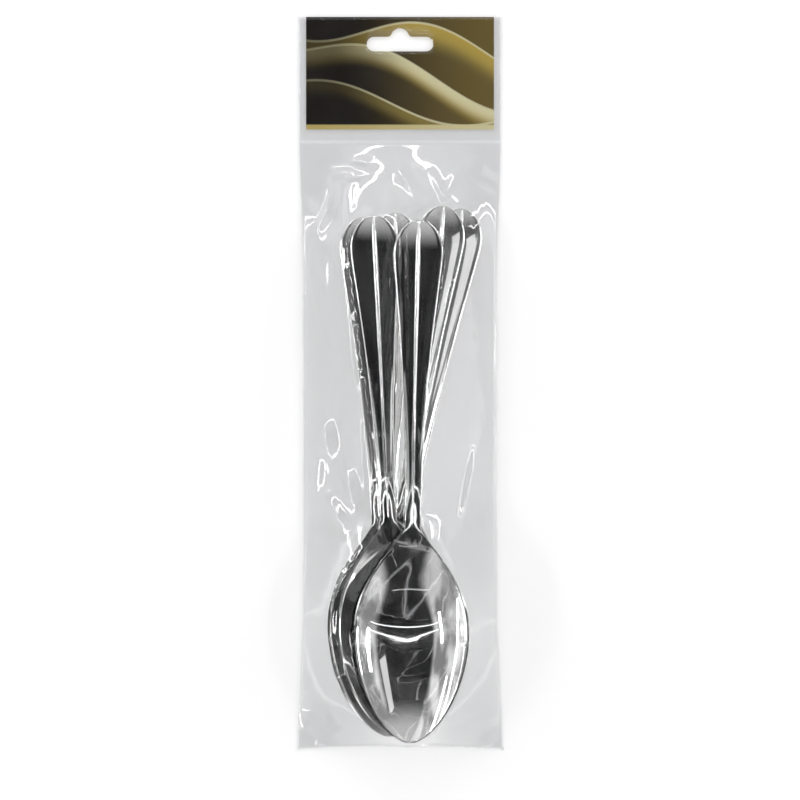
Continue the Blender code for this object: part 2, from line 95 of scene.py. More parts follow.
# Bag, as in the part's source
FILM = 0.0001
WELD_WIDTH = 0.0010
HEADER_HEIGHT = 0.0455
HEAD_ROOM = 0.0239
SIDE_ROOM = 0.0170
WAIST_PULL_IN = 0.0021
WAIST_EASE = 0.25
HEADER_PULL_IN = 0.0006
FOOT_ARCH = 0.0013
WELD_LIFT = 0.75
CARD_WIDTH = 0.0684
CARD_HEIGHT = 0.0410
CARD_THICKNESS = 0.0004
CARD_GAP = 0.0002
SLOT_WIDTH = 0.0242
SLOT_HEIGHT = 0.0053
SLOT_BELOW_TOP = 0.0099
SLOT_HUMP_RADIUS = 0.0033
SLOT_HUMP_RISE = 0.0031
SLOT_FLARE = 0.0015

# Fine detail of the film
ARC_STEPS = 12
FILM_CELL = 0.00088
HEADER_CELL = 0.0014
SEAM_BAND = 0.0012
FILM_APART = 0.00022  # between the middles of the two films
WELD_REACH = 1.2  # edges of the two films that are this many times FILM_APART apart are joined
SPOON_CLEARANCE = 0.0002
GRID_PASSES = ((4, 900), (2, 700), (1, 450))  # how much coarser the grid is, and how often it is relaxed
POCKET_FROM_SIDE = (0.0012, 0.0036)  # where the films begin and end to part
POCKET_FROM_SEAM = (0.0008, 0.0036)
FOLD_FREE_EDGE = 0.008  # how far from a weld the folds reach their full height
FOLD_RELIEF = 1.7
FOLD_END_SHARE = 0.03  # of a fold's length, where its end is cut off blunt
WAVE_SEED = 11
WAVE_LENGTHS = (14, 19, 25, 33, 46, 60)  # millimetres, as are the next three
WAVE_UNIT_LENGTH = 46  # the wave of this length is as high as WAVE_HEIGHT
WAVE_BEND_LENGTH = 31
WAVE_HEIGHT = 0.24
WAVE_ANGLES = (-0.5, 0.5)  # radians from the bag's width
WAVE_BENDS = (0.5, 1.5)  # radians
TAUT_WAVE_SHARE = 0.35  # of the waves' height, where the film touches a spoon
LOOSE_FILM = (0.0002, 0.003)  # height over a spoon where the film begins and ends to slacken

# Worked out from these sizes
UPPERMOST_REACH = max(up + SPOON_LENGTH * math.cos(math.radians(lean)) for _, up, lean, _ in SPOON_LAY)
BAG_LENGTH = WELD_WIDTH + FOOT_ARCH + UPPERMOST_REACH + HEAD_ROOM + HEADER_HEIGHT
TOP_Y = BAG_LENGTH / 2
FOOT_Y = -BAG_LENGTH / 2
SEAM_Y = TOP_Y - HEADER_HEIGHT
FOOT_HALF_WIDTH = BOWL_WIDTH / 2 + SIDE_ROOM
POCKET_TOP = CARD_THICKNESS + 2 * CARD_GAP + FILM
SEAM_HEIGHT = (POCKET_TOP + FILM) / 2
WIDEST_AT = SPOON_LENGTH - BOWL_TIP_LENGTH
BOWL_START = SPOON_LENGTH - BOWL_LENGTH
ARCH_LENGTH = BOWL_START + BOWL_LENGTH / 6
HANDLE_RELIEF_ENDS = (BOWL_START - BOWL_LENGTH / 5, BOWL_START + BOWL_LENGTH / 20)
TIP_REACH = SPOON_END_WIDTH / 20


def smooth_step(low, high, value):
    """Rises from 0 at low to 1 at high, level at both ends."""
    t = np.clip((value - low) / (high - low), 0.0, 1.0)
    return t * t * (3 - 2 * t)


# The spoon. s is the distance from the handle's end, u runs from -1 to 1 across.
def handle_half_width(s):
    """A round end, then a taper to the neck."""
    if s < HANDLE_END_LENGTH:
        rise = 1 - s / HANDLE_END_LENGTH
        return HANDLE_WIDTH / 2 * math.sqrt(1 - rise * rise)
    slimming = ((s - HANDLE_END_LENGTH) / HANDLE_TAPER_LENGTH) ** HANDLE_TAPER_POWER
    return NECK_WIDTH / 2 + (HANDLE_WIDTH - NECK_WIDTH) / 2 * math.exp(-slimming)


def bowl_half_width(s):
    """Shoulders that swell from nothing to the widest place, then a rounded tip."""
    if s >= WIDEST_AT:
        r = min((s - WIDEST_AT) / BOWL_TIP_LENGTH, 1.0)
        return BOWL_WIDTH / 2 * (1 - r ** BOWL_TIP_POWER) ** (1 / BOWL_TIP_POWER)
    r = min((WIDEST_AT - s) / (BOWL_LENGTH - BOWL_TIP_LENGTH), 1.0)
    return BOWL_WIDTH / 2 * math.cos(math.pi / 2 * r ** BOWL_SHOULDER_POWER)


def spoon_half_width(s):
    """Handle and bowl run into each other at the neck, and the tip keeps a little width."""
    handle = handle_half_width(s) * (1 - smooth_step(BOWL_START, WIDEST_AT, s))
    bowl = max(bowl_half_width(s), 0.0)
    outline = (handle ** NECK_BLEND_POWER + bowl ** NECK_BLEND_POWER) ** (1 / NECK_BLEND_POWER)
    return max(outline, SPOON_END_WIDTH / 2)


def bowl_depth(s):
    """Depth along the middle of the bowl, most at half its length."""
    half_length = BOWL_LENGTH / 2
    r = (s - BOWL_START - half_length) / half_length
    if r <= -1:
        return 0.0
    if r < 0:
        return BOWL_DEPTH * math.cos(math.pi / 2 * r) ** 2
    return BOWL_DEPTH * (1 - min(r, 1.0) ** BOWL_TIP_DEPTH_POWER)


def rim_height(s):
    """Side view of the spoon's edge: level along the bowl, arched over the neck, down to the end."""
    q = max(0.0, 1 - s / ARCH_LENGTH)
    return NECK_RISE * math.sin(math.pi * q) - HANDLE_DROP * q * q


def spoon_surface(s, u):
    """A point of the spoon's upper face, with the tip at the origin and the handle along +Y."""
    on_handle = 1 - smooth_step(*HANDLE_RELIEF_ENDS, s)
    from_end = min(handle_half_width(s) / (HANDLE_WIDTH / 2), 1.0) if s < HANDLE_END_LENGTH else 1.0
    crown = HANDLE_CROWN * on_handle * from_end ** 2 * (1 - u * u)
    from_ridge = min(abs(u) / FINE_RIDGE_SHARE, 1.0)
    ridge = RIDGE_HEIGHT * on_handle * (1 - from_ridge) ** FINE_RIDGE_POWER * smooth_step(0, RIDGE_RUN_OUT, s)
    from_bead = min(abs(abs(u) - BEAD_SHARE) / BEAD_HALF_WIDTH_SHARE, 1.0)
    bead = BEAD_HEIGHT * on_handle * from_end ** 2 * (1 - from_bead * from_bead)
    hollow = bowl_depth(s) * (1 - min(abs(u) / LIP_SHARE, 1.0) ** BOWL_SECTION_POWER)
    return Vector((u * spoon_half_width(s), SPOON_LENGTH - s, rim_height(s) + crown + ridge + bead - hollow))


def lay_matrix(across, up, lean, roll, pitch, height):
    """Puts a spoon's tip at its place over the foot of the bag, and turns the spoon about it."""
    turn = (Matrix.Rotation(math.radians(-lean), 4, 'Z')
            @ Matrix.Rotation(math.radians(pitch), 4, 'X')
            @ Matrix.Rotation(math.radians(roll), 4, 'Y'))
    return Matrix.Translation((across, FOOT_Y + FOOT_ARCH + WELD_WIDTH + up, height)) @ turn


NEAREST_SLACK = 1.01
POSE_ROUNDS = 4


def highest_near(points, place, reach):
    """The highest vertex of a CAD spoon within reach of a place, seen from above."""
    away = np.hypot(points[:, 0] - place.x, points[:, 1] - place.y)
    return points[away <= max(reach, away.min() * NEAREST_SLACK)][:, 2].max()


def spoon_pose(node, lay):
    """Where a CAD spoon lies: its height from its tip and its pitch from its handle's end."""
    points = np.array([v.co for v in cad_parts[node].data.vertices])
    handle_end = Vector((0, SPOON_LENGTH, rim_height(0)))
    height = highest_near(points, lay_matrix(*lay, 0, 0) @ Vector(), TIP_REACH)
    pitch, reach = 0.0, SPOON_END_WIDTH
    for _ in range(POSE_ROUNDS):
        expected = lay_matrix(*lay, pitch, height) @ handle_end
        missing = highest_near(points, expected, reach) - expected.z
        pitch += math.degrees(missing / SPOON_LENGTH)
        reach = TIP_REACH
    return lay_matrix(*lay, pitch, height)


def grid_mesh(rows, columns, place):
    """A bmesh of quads whose vertex in row i and column j lies at place(i, j)."""
    bm = bmesh.new()
    points = [[bm.verts.new(place(i, j)) for j in range(columns)] for i in range(rows)]
    for i in range(rows - 1):
        for j in range(columns - 1):
            bm.faces.new((points[i][j], points[i][j + 1], points[i + 1][j + 1], points[i + 1][j]))
    bm.normal_update()
    return bm


def add_piece(name, bm, material):
    """A smooth object made of a bmesh, which is used up."""
    mesh = bpy.data.meshes.new(name)
    bm.to_mesh(mesh)
    bm.free()
    mesh.materials.append(material)
    mesh.shade_smooth()
    piece = bpy.data.objects.new(name, mesh)
    bpy.context.scene.collection.objects.link(piece)
    return piece


def spoon_stations():
    """Distances from the handle's end, closer together at the two round ends."""
    return [SPOON_LENGTH * (1 - math.cos(math.pi * i / (FINE_ROWS - 1))) / 2 for i in range(FINE_ROWS)]


def make_spoons(material):
    """The six spoons as sheets of their upper face, given a wall and a rounded edge, where the CAD's lie."""
    columns = [-u for u in reversed(HALF_COLUMNS)] + [0.0] + list(HALF_COLUMNS)
    stations = spoon_stations()[::-1]
    spoons = []
    for number, lay in enumerate(SPOON_LAY, start=1):
        bm = grid_mesh(len(stations), len(columns), lambda i, j: spoon_surface(stations[i], columns[j]))
        spoon = add_piece("fine_spoon_%d" % number, bm, material)
        spoon.data.transform(spoon_pose("spoon_%d" % number, lay))
        wall = spoon.modifiers.new("wall", 'SOLIDIFY')
        wall.thickness = SPOON_WALL
        wall.offset = -1.0
        rounding = spoon.modifiers.new("rounding", 'BEVEL')
        rounding.width = EDGE_ROUNDING
        rounding.segments = ROUNDING_STEPS
        rounding.limit_method = 'ANGLE'
        rounding.angle_limit = math.radians(ROUNDED_ANGLE)
        rounding.harden_normals = True
        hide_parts("spoon_%d" % number)
        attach(spoon, "root")
        spoons.append(spoon)
    return spoons


# The bag. Row i runs from the foot to the top edge, column j from left to right.
def bag_half_width(y):
    """Half the bag's width: narrowest where the spoons fill it, wider at header and foot."""
    header = FOOT_HALF_WIDTH - HEADER_PULL_IN
    waist = FOOT_HALF_WIDTH - WAIST_PULL_IN
    pouch = SEAM_Y - FOOT_Y
    from_foot = smooth_step(FOOT_Y, FOOT_Y + pouch * WAIST_EASE, y)
    to_header = smooth_step(SEAM_Y - pouch * WAIST_EASE, SEAM_Y, y)
    return FOOT_HALF_WIDTH + (waist - FOOT_HALF_WIDTH) * from_foot + (header - waist) * to_header


def foot_line(x):
    """How far down the bag reaches: its foot is arched up in the middle."""
    return FOOT_Y + FOOT_ARCH * (1 - (x / FOOT_HALF_WIDTH) ** 2)


def even_places(low, high, cell):
    """Places from low to high, about one cell apart."""
    return np.linspace(low, high, max(2, round((high - low) / cell) + 1))


def film_plan():
    """Plan places of the film's grid, and the number of the last row below the header seam."""
    shares = even_places(0.0, 1.0, FILM_CELL / (SEAM_Y - FOOT_Y))
    pouch_levels = FOOT_Y + WELD_WIDTH + shares * (SEAM_Y - SEAM_BAND / 2 - FOOT_Y - WELD_WIDTH)
    header_levels = even_places(SEAM_Y + SEAM_BAND / 2, TOP_Y, HEADER_CELL)
    across = even_places(-1.0, 1.0, FILM_CELL / (FOOT_HALF_WIDTH - WELD_WIDTH))
    rows_x, rows_y = [], []
    for k, level in enumerate(np.concatenate((pouch_levels, header_levels))):
        half = bag_half_width(level)
        inner = across * (half - WELD_WIDTH)
        x = np.concatenate(([-half], inner, [half]))
        if k < len(shares):
            low = foot_line(x) + WELD_WIDTH
            y = low + shares[k] * (pouch_levels[-1] - low)
        else:
            y = np.full(x.shape, level)
        rows_x.append(x)
        rows_y.append(y)
    xs = np.array([rows_x[0]] + rows_x)
    ys = np.array([foot_line(rows_x[0])] + rows_y)
    return xs, ys, len(shares)


def widened(values, choose):
    """Each place takes the extreme of its own value and those next to it."""
    out = values.copy()
    for shift in ((1, 0), (-1, 0), (0, 1), (0, -1)):
        out = choose(out, np.roll(values, shift, axis=(0, 1)))
    return out


def spoon_heights(xs, ys, spoons):
    """Highest and lowest spoon surface over and under each place of a grid."""
    depsgraph = bpy.context.evaluated_depsgraph_get()
    vertices, faces = [], []
    for spoon in spoons:
        mesh = spoon.evaluated_get(depsgraph).to_mesh()
        start = len(vertices)
        vertices.extend(v.co.copy() for v in mesh.vertices)
        faces.extend(tuple(start + i for i in p.vertices) for p in mesh.polygons)
    tree = BVHTree.FromPolygons(vertices, faces)
    top = np.full(xs.shape, -1.0)
    low = np.full(xs.shape, 1.0)
    down = Vector((0, 0, -1))
    up = Vector((0, 0, 1))
    for index, x in np.ndenumerate(xs):
        hit = tree.ray_cast(Vector((x, ys[index], 1)), down)[0]
        if hit:
            top[index] = hit.z
            low[index] = tree.ray_cast(Vector((x, ys[index], -1)), up)[0].z
    return widened(top, np.maximum), widened(low, np.minimum)


def picked(values, shape, share, choose):
    """Values for a grid that is coarser by share, each the extreme of those round it."""
    for _ in range(share - 1):
        values = widened(values, choose)
    rows = np.linspace(0, values.shape[0] - 1, shape[0]).round().astype(int)
    columns = np.linspace(0, values.shape[1] - 1, shape[1]).round().astype(int)
    return values[rows][:, columns]


def neighbour_weights(places):
    """How much the places before and after each inner one pull on it."""
    before = places[1:-1] - places[:-2]
    after = places[2:] - places[1:-1]
    return 2 / (before * (before + after)), 2 / (after * (before + after))


def pull_taut(front, back, xs, ys, over, under, passes):
    """Relaxes both films over and under the spoons. The side and foot welds hang free, the seam is held."""
    left, right = neighbour_weights(xs[xs.shape[0] // 2])
    down, up = neighbour_weights(ys[:, xs.shape[1] // 2])
    left, right, down, up = left[None, :], right[None, :], down[:, None], up[:, None]
    total = left + right + down + up
    for _ in range(passes):
        for film in (front, back):
            film[1:-1, 1:-1] = (left * film[1:-1, :-2] + right * film[1:-1, 2:]
                                + down * film[:-2, 1:-1] + up * film[2:, 1:-1]) / total
        middle = (front + back) / 2
        front[1:-1, 1:-1] = np.maximum(front, np.maximum(over, middle + FILM_APART / 2))[1:-1, 1:-1]
        back[1:-1, 1:-1] = np.minimum(back, np.minimum(under, middle - FILM_APART / 2))[1:-1, 1:-1]
        np.maximum(back, FILM / 2, out=back)
        np.maximum(front, back + FILM_APART, out=front)
        weld = np.maximum(WELD_LIFT * (front + back) / 2, SEAM_HEIGHT)
        for film, lift in ((front, FILM_APART / 2), (back, -FILM_APART / 2)):
            film[:-1, 0] = weld[:-1, 1] + lift
            film[:-1, -1] = weld[:-1, -2] + lift
            film[0, :] = weld[1, :] + lift
            film[-1, :] = SEAM_HEIGHT + lift


def stretched(values, shape):
    """Values of a coarse grid spread over a finer one."""
    rows = np.linspace(0, values.shape[0] - 1, shape[0])
    columns = np.linspace(0, values.shape[1] - 1, shape[1])
    i = np.clip(rows.astype(int), 0, values.shape[0] - 2)
    j = np.clip(columns.astype(int), 0, values.shape[1] - 2)
    p, q = (rows - i)[:, None], (columns - j)[None, :]
    return ((1 - p) * (1 - q) * values[i][:, j] + p * (1 - q) * values[i + 1][:, j]
            + (1 - p) * q * values[i][:, j + 1] + p * q * values[i + 1][:, j + 1])


def pouch_films(xs, ys, top, low):
    """Heights of the front and the back film inside the welds, from a coarse grid to the fine one."""
    over = top + SPOON_CLEARANCE + FILM / 2
    under = low - SPOON_CLEARANCE - FILM / 2
    coarsest = GRID_PASSES[0][0]
    front = np.full((xs.shape[0] // coarsest, xs.shape[1] // coarsest), SEAM_HEIGHT)
    back = front.copy()
    for share, passes in GRID_PASSES:
        shape = (xs.shape[0] // share, xs.shape[1] // share)
        front, back = stretched(front, shape), stretched(back, shape)
        pull_taut(front, back, stretched(xs, shape), stretched(ys, shape),
                  picked(over, shape, share, np.maximum), picked(under, shape, share, np.minimum), passes)
    return front, back


# Folds of the film: points on the plan, height of the crest, width of its steep side and of its gentle
# side, all in millimetres. The steep side is on the right as the points run.
FOLDS = (
    (((-33.0, 86.5), (-33.3, 73.0)), 0.35, 1.3, 3.0),
    (((-24.9, 77.9), (-19.4, 73.7)), 0.45, 1.2, 2.5),
    (((-21.9, 77.0), (-16.5, 76.2)), 0.35, 1.2, 2.5),
    (((-19.4, 74.4), (-12.8, 74.8)), 0.35, 1.2, 2.5),
    (((-19.2, 74.4), (-18.6, 56.9)), 0.60, 1.6, 2.6),
    (((-16.5, 73.7), (-16.5, 62.7)), 0.45, 1.4, 2.2),
    (((-26.0, 73.3), (-25.6, 67.1), (-27.4, 61.6), (-31.8, 54.7)), 0.40, 1.2, 3.5),
    (((-17.5, 81.0), (-11.0, 79.5)), 0.30, 1.1, 2.5),
    (((-1.6, 79.9), (-1.3, 75.9), (-0.4, 72.9)), 0.40, 1.3, 2.5),
    (((-1.5, 79.9), (6.6, 64.2)), 0.45, 1.2, 3.0),
    (((11.7, 76.6), (15.7, 67.1), (20.1, 75.9)), 0.45, 1.6, 2.2),
    (((1.5, 40.0), (1.1, 57.6), (4.8, 61.6), (12.4, 66.7)), 0.40, 1.1, 2.2),
    (((1.8, 9.0), (1.1, 57.6)), 0.35, 1.1, 2.0),
    (((-31.8, 56.1), (-28.5, 35.0), (-23.8, 12.2)), 0.70, 3.0, 6.0),
    (((-29.0, -12.6), (-26.0, -26.0)), 0.60, 2.5, 5.0),
    (((-20.1, -29.8), (-17.5, -42.6)), 0.55, 2.0, 4.0),
    (((-27.4, -40.8), (-21.9, -49.9)), 0.50, 2.0, 4.0),
    (((27.1, 18.8), (29.2, 14.1)), 0.45, 1.6, 3.0),
    (((28.5, -20.7), (22.7, -49.9)), 0.70, 2.6, 5.0),
    (((29.3, 1.3), (30.3, -7.9)), 0.40, 1.6, 3.0),
    (((-1.1, -29.8), (-7.3, -44.4), (-5.8, -55.4)), 0.60, 1.8, 3.0),
    (((21.9, 41.5), (15.4, 25.0)), 0.50, 1.4, 3.0),
    (((-30.7, -123.8), (-27.1, -120.8), (-26.3, -121.9), (-29.2, -129.6)), 0.40, 1.1, 2.0),
    (((-18.3, -123.4), (-26.7, -129.2)), 0.45, 1.2, 2.5),
    (((-34.5, -130.0), (-30.5, -131.5)), 0.35, 1.2, 2.0),
    (((20.7, -124.5), (27.1, -130.3)), 0.45, 1.2, 2.5),
    (((27.1, -121.2), (28.2, -124.9)), 0.40, 1.2, 2.0),
    (((30.7, -115.7), (34.0, -120.1), (35.5, -123.8)), 0.30, 1.1, 2.5),
    (((35.5, -125.9), (32.7, -131.8)), 0.40, 1.3, 2.0),
    (((-7.3, -85.7), (3.7, -88.3), (17.2, -86.5)), 0.40, 1.1, 2.5),
    (((-8.4, -90.1), (1.8, -94.1), (17.5, -90.9)), 0.40, 1.1, 2.5),
    (((-8.0, -90.9), (-12.4, -100.4)), 0.40, 1.1, 2.5),
    (((19.0, -70.4), (17.9, -86.1)), 0.40, 1.4, 2.0),
    (((2.6, -105.1), (11.0, -102.9), (20.1, -93.8)), 0.45, 1.2, 3.0),
    (((-7.3, -109.1), (0.0, -116.4), (6.6, -117.5)), 0.45, 1.2, 3.0),
)


def fold_height(xs, ys, points, height, steep, gentle):
    """Height that one fold adds at each place, a crest with one steep and one gentle side."""
    nearest = np.full(xs.shape, np.inf)
    side = np.zeros(xs.shape)
    along = np.zeros(xs.shape)
    lengths = [math.dist(a, b) for a, b in zip(points, points[1:])]
    done = 0.0
    for (ax, ay), (bx, by), length in zip(points, points[1:], lengths):
        dx, dy = (bx - ax) / length, (by - ay) / length
        t = np.clip((xs - ax) * dx + (ys - ay) * dy, 0, length)
        away = np.hypot(xs - ax - t * dx, ys - ay - t * dy)
        closer = away < nearest
        nearest = np.where(closer, away, nearest)
        side = np.where(closer, (xs - ax) * dy - (ys - ay) * dx, side)
        along = np.where(closer, (done + t) / sum(lengths), along)
        done += length
    width = np.where(side > 0, steep, gentle)
    profile = np.clip(1 - nearest / width, 0, None)
    return height * profile * np.sqrt(np.sin(math.pi * np.clip(along, FOLD_END_SHARE, 1 - FOLD_END_SHARE)))


def soft_waves(xs, ys):
    """A slow unevenness of the film, from a few crossing waves of seeded direction, phase and bend."""
    random = np.random.default_rng(WAVE_SEED)
    total = np.zeros(xs.shape)
    for length in WAVE_LENGTHS:
        angle = random.uniform(*WAVE_ANGLES)
        phase = random.uniform(0, 2 * math.pi)
        bend = random.uniform(*WAVE_BENDS)
        across = xs * math.cos(angle) + ys * math.sin(angle)
        run = ys * math.cos(angle) - xs * math.sin(angle)
        bending = bend * np.sin(run / WAVE_BEND_LENGTH + phase)
        total += length / WAVE_UNIT_LENGTH * np.sin(2 * math.pi * across / length + phase + bending)
    return total


def header_films(xs, ys):
    """Heights of the two films above the seam, where they enclose the card."""
    from_side = bag_half_width(SEAM_Y) - abs(xs)
    from_seam = ys - SEAM_Y
    inside = smooth_step(*POCKET_FROM_SIDE, from_side) * smooth_step(*POCKET_FROM_SEAM, from_seam)
    front = SEAM_HEIGHT + FILM_APART / 2 + (POCKET_TOP - SEAM_HEIGHT - FILM_APART / 2) * inside
    back = SEAM_HEIGHT - FILM_APART / 2 + (FILM / 2 - SEAM_HEIGHT + FILM_APART / 2) * inside
    return front, back


def film_relief(xs, ys, loose):
    """Millimetres that waves and folds add to the front film. loose is 1 where it is clear of the spoons."""
    mm_x, mm_y = xs * 1000, ys * 1000
    relief = WAVE_HEIGHT * soft_waves(mm_x, mm_y) * (TAUT_WAVE_SHARE + (1 - TAUT_WAVE_SHARE) * loose)
    for points, height, steep, gentle in FOLDS:
        relief = relief + fold_height(mm_x, mm_y, points, FOLD_RELIEF * height, steep, gentle)
    return relief


def film_shapes(spoons):
    """Plan and heights of the front and the back film over the whole bag."""
    xs, ys, seam_row = film_plan()
    front, back = header_films(xs, ys)
    pouch = (slice(1, seam_row + 1), slice(1, -1))
    pouch_x, pouch_y = xs[pouch], ys[pouch]
    top, low = spoon_heights(pouch_x, pouch_y, spoons)
    pouch_front, pouch_back = pouch_films(pouch_x, pouch_y, top, low)
    from_weld = np.minimum.reduce((bag_half_width(pouch_y) - WELD_WIDTH - abs(pouch_x),
                                   pouch_y - foot_line(pouch_x) - WELD_WIDTH,
                                   SEAM_Y - SEAM_BAND - pouch_y))
    free = smooth_step(0.0, FOLD_FREE_EDGE, from_weld)
    loose = smooth_step(*LOOSE_FILM, pouch_front - top)
    folded = pouch_front + free * film_relief(pouch_x, pouch_y, loose) / 1000
    pouch_front = np.maximum(folded, top + SPOON_CLEARANCE / 2 + FILM / 2)
    pouch_front = np.maximum(pouch_front, pouch_back + FILM_APART)
    for film, heights in ((front, pouch_front), (back, pouch_back)):
        film[pouch] = heights
        film[1:seam_row + 1, 0] = heights[:, 0]
        film[1:seam_row + 1, -1] = heights[:, -1]
        film[0] = film[1]
    return xs, ys, front, back


def arc(middle, radius, start, end, steps=ARC_STEPS):
    """Points of an arc between two angles in degrees."""
    angles = [math.radians(start + (end - start) * i / steps) for i in range(steps + 1)]
    return [(middle[0] + radius * math.cos(a), middle[1] + radius * math.sin(a)) for a in angles]


def slot_outline():
    """The hang slot: a level slot with round ends and a hump over its middle."""
    y = TOP_Y - SLOT_BELOW_TOP
    end_radius = SLOT_HEIGHT / 2
    end_x = SLOT_WIDTH / 2 - end_radius
    top = y + end_radius
    hump_y = top + SLOT_HUMP_RISE - SLOT_HUMP_RADIUS
    flare_y = top + SLOT_FLARE
    reach = math.acos((flare_y - hump_y) / (SLOT_HUMP_RADIUS + SLOT_FLARE))
    flare_x = (SLOT_HUMP_RADIUS + SLOT_FLARE) * math.sin(reach)
    turn = math.degrees(reach)
    return (arc((end_x, y), end_radius, -90, 90)
            + arc((flare_x, flare_y), SLOT_FLARE, 270, 270 - turn, ARC_STEPS // 2)
            + arc((0, hump_y), SLOT_HUMP_RADIUS, 90 - turn, 90 + turn)[1:-1]
            + arc((-flare_x, flare_y), SLOT_FLARE, 270 + turn, 270, ARC_STEPS // 2)
            + arc((-end_x, y), end_radius, 90, 270))


def open_slot(bm):
    """Cuts the hang slot into a flat part of a film: takes out the cells there and fills up to its edge."""
    middle = TOP_Y - SLOT_BELOW_TOP + SLOT_HUMP_RISE / 2
    reach_x = SLOT_WIDTH / 2 + HEADER_CELL / 2
    reach_y = (SLOT_HEIGHT + SLOT_HUMP_RISE) / 2 + HEADER_CELL / 2
    near = [v for v in bm.verts if abs(v.co.x) < reach_x and abs(v.co.y - middle) < reach_y]
    height = near[0].co.z
    old_boundary = {e for e in bm.edges if e.is_boundary}
    bmesh.ops.delete(bm, geom=near, context='VERTS')
    border = [e for e in bm.edges if e.is_boundary and e not in old_boundary]
    rim = [bm.verts.new((x, y, height)) for x, y in slot_outline()]
    rim_edges = [bm.edges.new((a, b)) for a, b in zip(rim, rim[1:] + rim[:1])]
    bmesh.ops.triangle_fill(bm, use_beauty=True, edges=border + rim_edges)


def film_sheet(xs, ys, heights):
    """One film of the bag, with the hang slot cut into it."""
    rows, columns = xs.shape
    bm = grid_mesh(rows, columns, lambda i, j: (xs[i, j], ys[i, j], heights[i, j]))
    open_slot(bm)
    return bm


def weld_together(bm):
    """Joins the two films along both sides and the foot."""
    rim = [v for v in bm.verts if v.is_boundary and v.co.y < TOP_Y - HEADER_CELL / 2
           and (abs(v.co.x) > SLOT_WIDTH or v.co.y < SEAM_Y)]
    bmesh.ops.remove_doubles(bm, verts=rim, dist=FILM_APART * WELD_REACH)


def make_film(material, spoons):
    """The bag: two sheets of film joined at the welds, and given their thickness."""
    xs, ys, front, back = film_shapes(spoons)
    bm = film_sheet(xs, ys, front)
    under = film_sheet(xs, ys, back)
    scratch = bpy.data.meshes.new("back_sheet")
    under.to_mesh(scratch)
    under.free()
    bm.from_mesh(scratch)
    bpy.data.meshes.remove(scratch)
    weld_together(bm)
    bmesh.ops.recalc_face_normals(bm, faces=bm.faces[:])
    film = add_piece("fine_film_bag", bm, material)
    wall = film.modifiers.new("wall", 'SOLIDIFY')
    wall.thickness = FILM
    wall.offset = 0.0
    wall.use_even_offset = False
    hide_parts("film_bag")
    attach(film, "root")


# Materials
class Shading:
    """The nodes of a material or of the world, built one by one."""

    def __init__(self, owner):
        owner.use_nodes = True
        self.owner = owner
        self.tree = owner.node_tree
        self.tree.nodes.clear()

    def add(self, kind, inputs=(), **settings):
        """A node with its settings. inputs pairs the name or number of a socket with what feeds it."""
        node = self.tree.nodes.new(kind)
        for name, value in settings.items():
            setattr(node, name, value)
        for socket, value in dict(inputs).items():
            if isinstance(value, bpy.types.NodeSocket):
                self.tree.links.new(value, node.inputs[socket])
            else:
                node.inputs[socket].default_value = value
        return node

    def math(self, operation, *values, clamp=False):
        node = self.add("ShaderNodeMath", enumerate(values), operation=operation, use_clamp=clamp)
        return node.outputs[0]

    def remap(self, value, low, high, to_low, to_high):
        """Changes smoothly from to_low to to_high while value runs from low to high."""
        numbers = enumerate((value, low, high, to_low, to_high))
        return self.add("ShaderNodeMapRange", numbers, interpolation_type='SMOOTHSTEP').outputs[0]

    def colour_mix(self, share, a, b):
        return self.add("ShaderNodeMix", {0: share, 6: a, 7: b}, data_type='RGBA').outputs[2]

    def shader_mix(self, share, a, b):
        return self.add("ShaderNodeMixShader", {0: share, 1: a, 2: b}).outputs[0]

    def place(self):
        """Where a point of the object lies, in metres."""
        return self.add("ShaderNodeTexCoord").outputs["Object"]

    def scaled_place(self, scale):
        return self.add("ShaderNodeMapping", {"Vector": self.place(), "Scale": scale}).outputs[0]

    def split(self, vector):
        """The three coordinates of a place or direction."""
        return self.add("ShaderNodeSeparateXYZ", {0: vector}).outputs[:]

    def noise(self, scale, detail, place=None):
        inputs = {"Vector": place or self.place(), "Scale": scale, "Detail": detail}
        return self.add("ShaderNodeTexNoise", inputs).outputs[0]

    def bump(self, height, distance):
        inputs = {"Strength": 1.0, "Distance": distance, "Height": height}
        return self.add("ShaderNodeBump", inputs).outputs[0]

    def finish(self, shader, kind="ShaderNodeOutputMaterial"):
        self.add(kind, {"Surface": shader})
        return self.owner


def new_material(name):
    """The nodes of a new material."""
    return Shading(bpy.data.materials.new(name))


# A noise is given by its scale and detail. A fade is given by where a value begins and ends to change,
# and by what it is before and after.
METAL_DIM = (0.80, 0.80, 0.79, 1)
METAL_BRIGHT = (0.88, 0.88, 0.87, 1)
METAL_TONE_NOISE = (40, 3)
METAL_ROUGHNESS_NOISE = (120, 2)
METAL_ROUGHNESS_FADE = (0.3, 0.75, 0.03, 0.07)
METAL_WAVE_NOISE = (70, 1)
METAL_WAVE_DEPTH = 0.00003


def metal_material():
    """Vacuum metallised plastic: a bright mirror with the faint waviness of a moulded surface."""
    s = new_material("metallised_plastic")
    shader = s.add("ShaderNodeBsdfPrincipled", {
        "Metallic": 1.0,
        "Base Color": s.colour_mix(s.noise(*METAL_TONE_NOISE), METAL_DIM, METAL_BRIGHT),
        "Roughness": s.remap(s.noise(*METAL_ROUGHNESS_NOISE), *METAL_ROUGHNESS_FADE),
        "Normal": s.bump(s.noise(*METAL_WAVE_NOISE), METAL_WAVE_DEPTH),
    })
    return s.finish(shader.outputs[0])


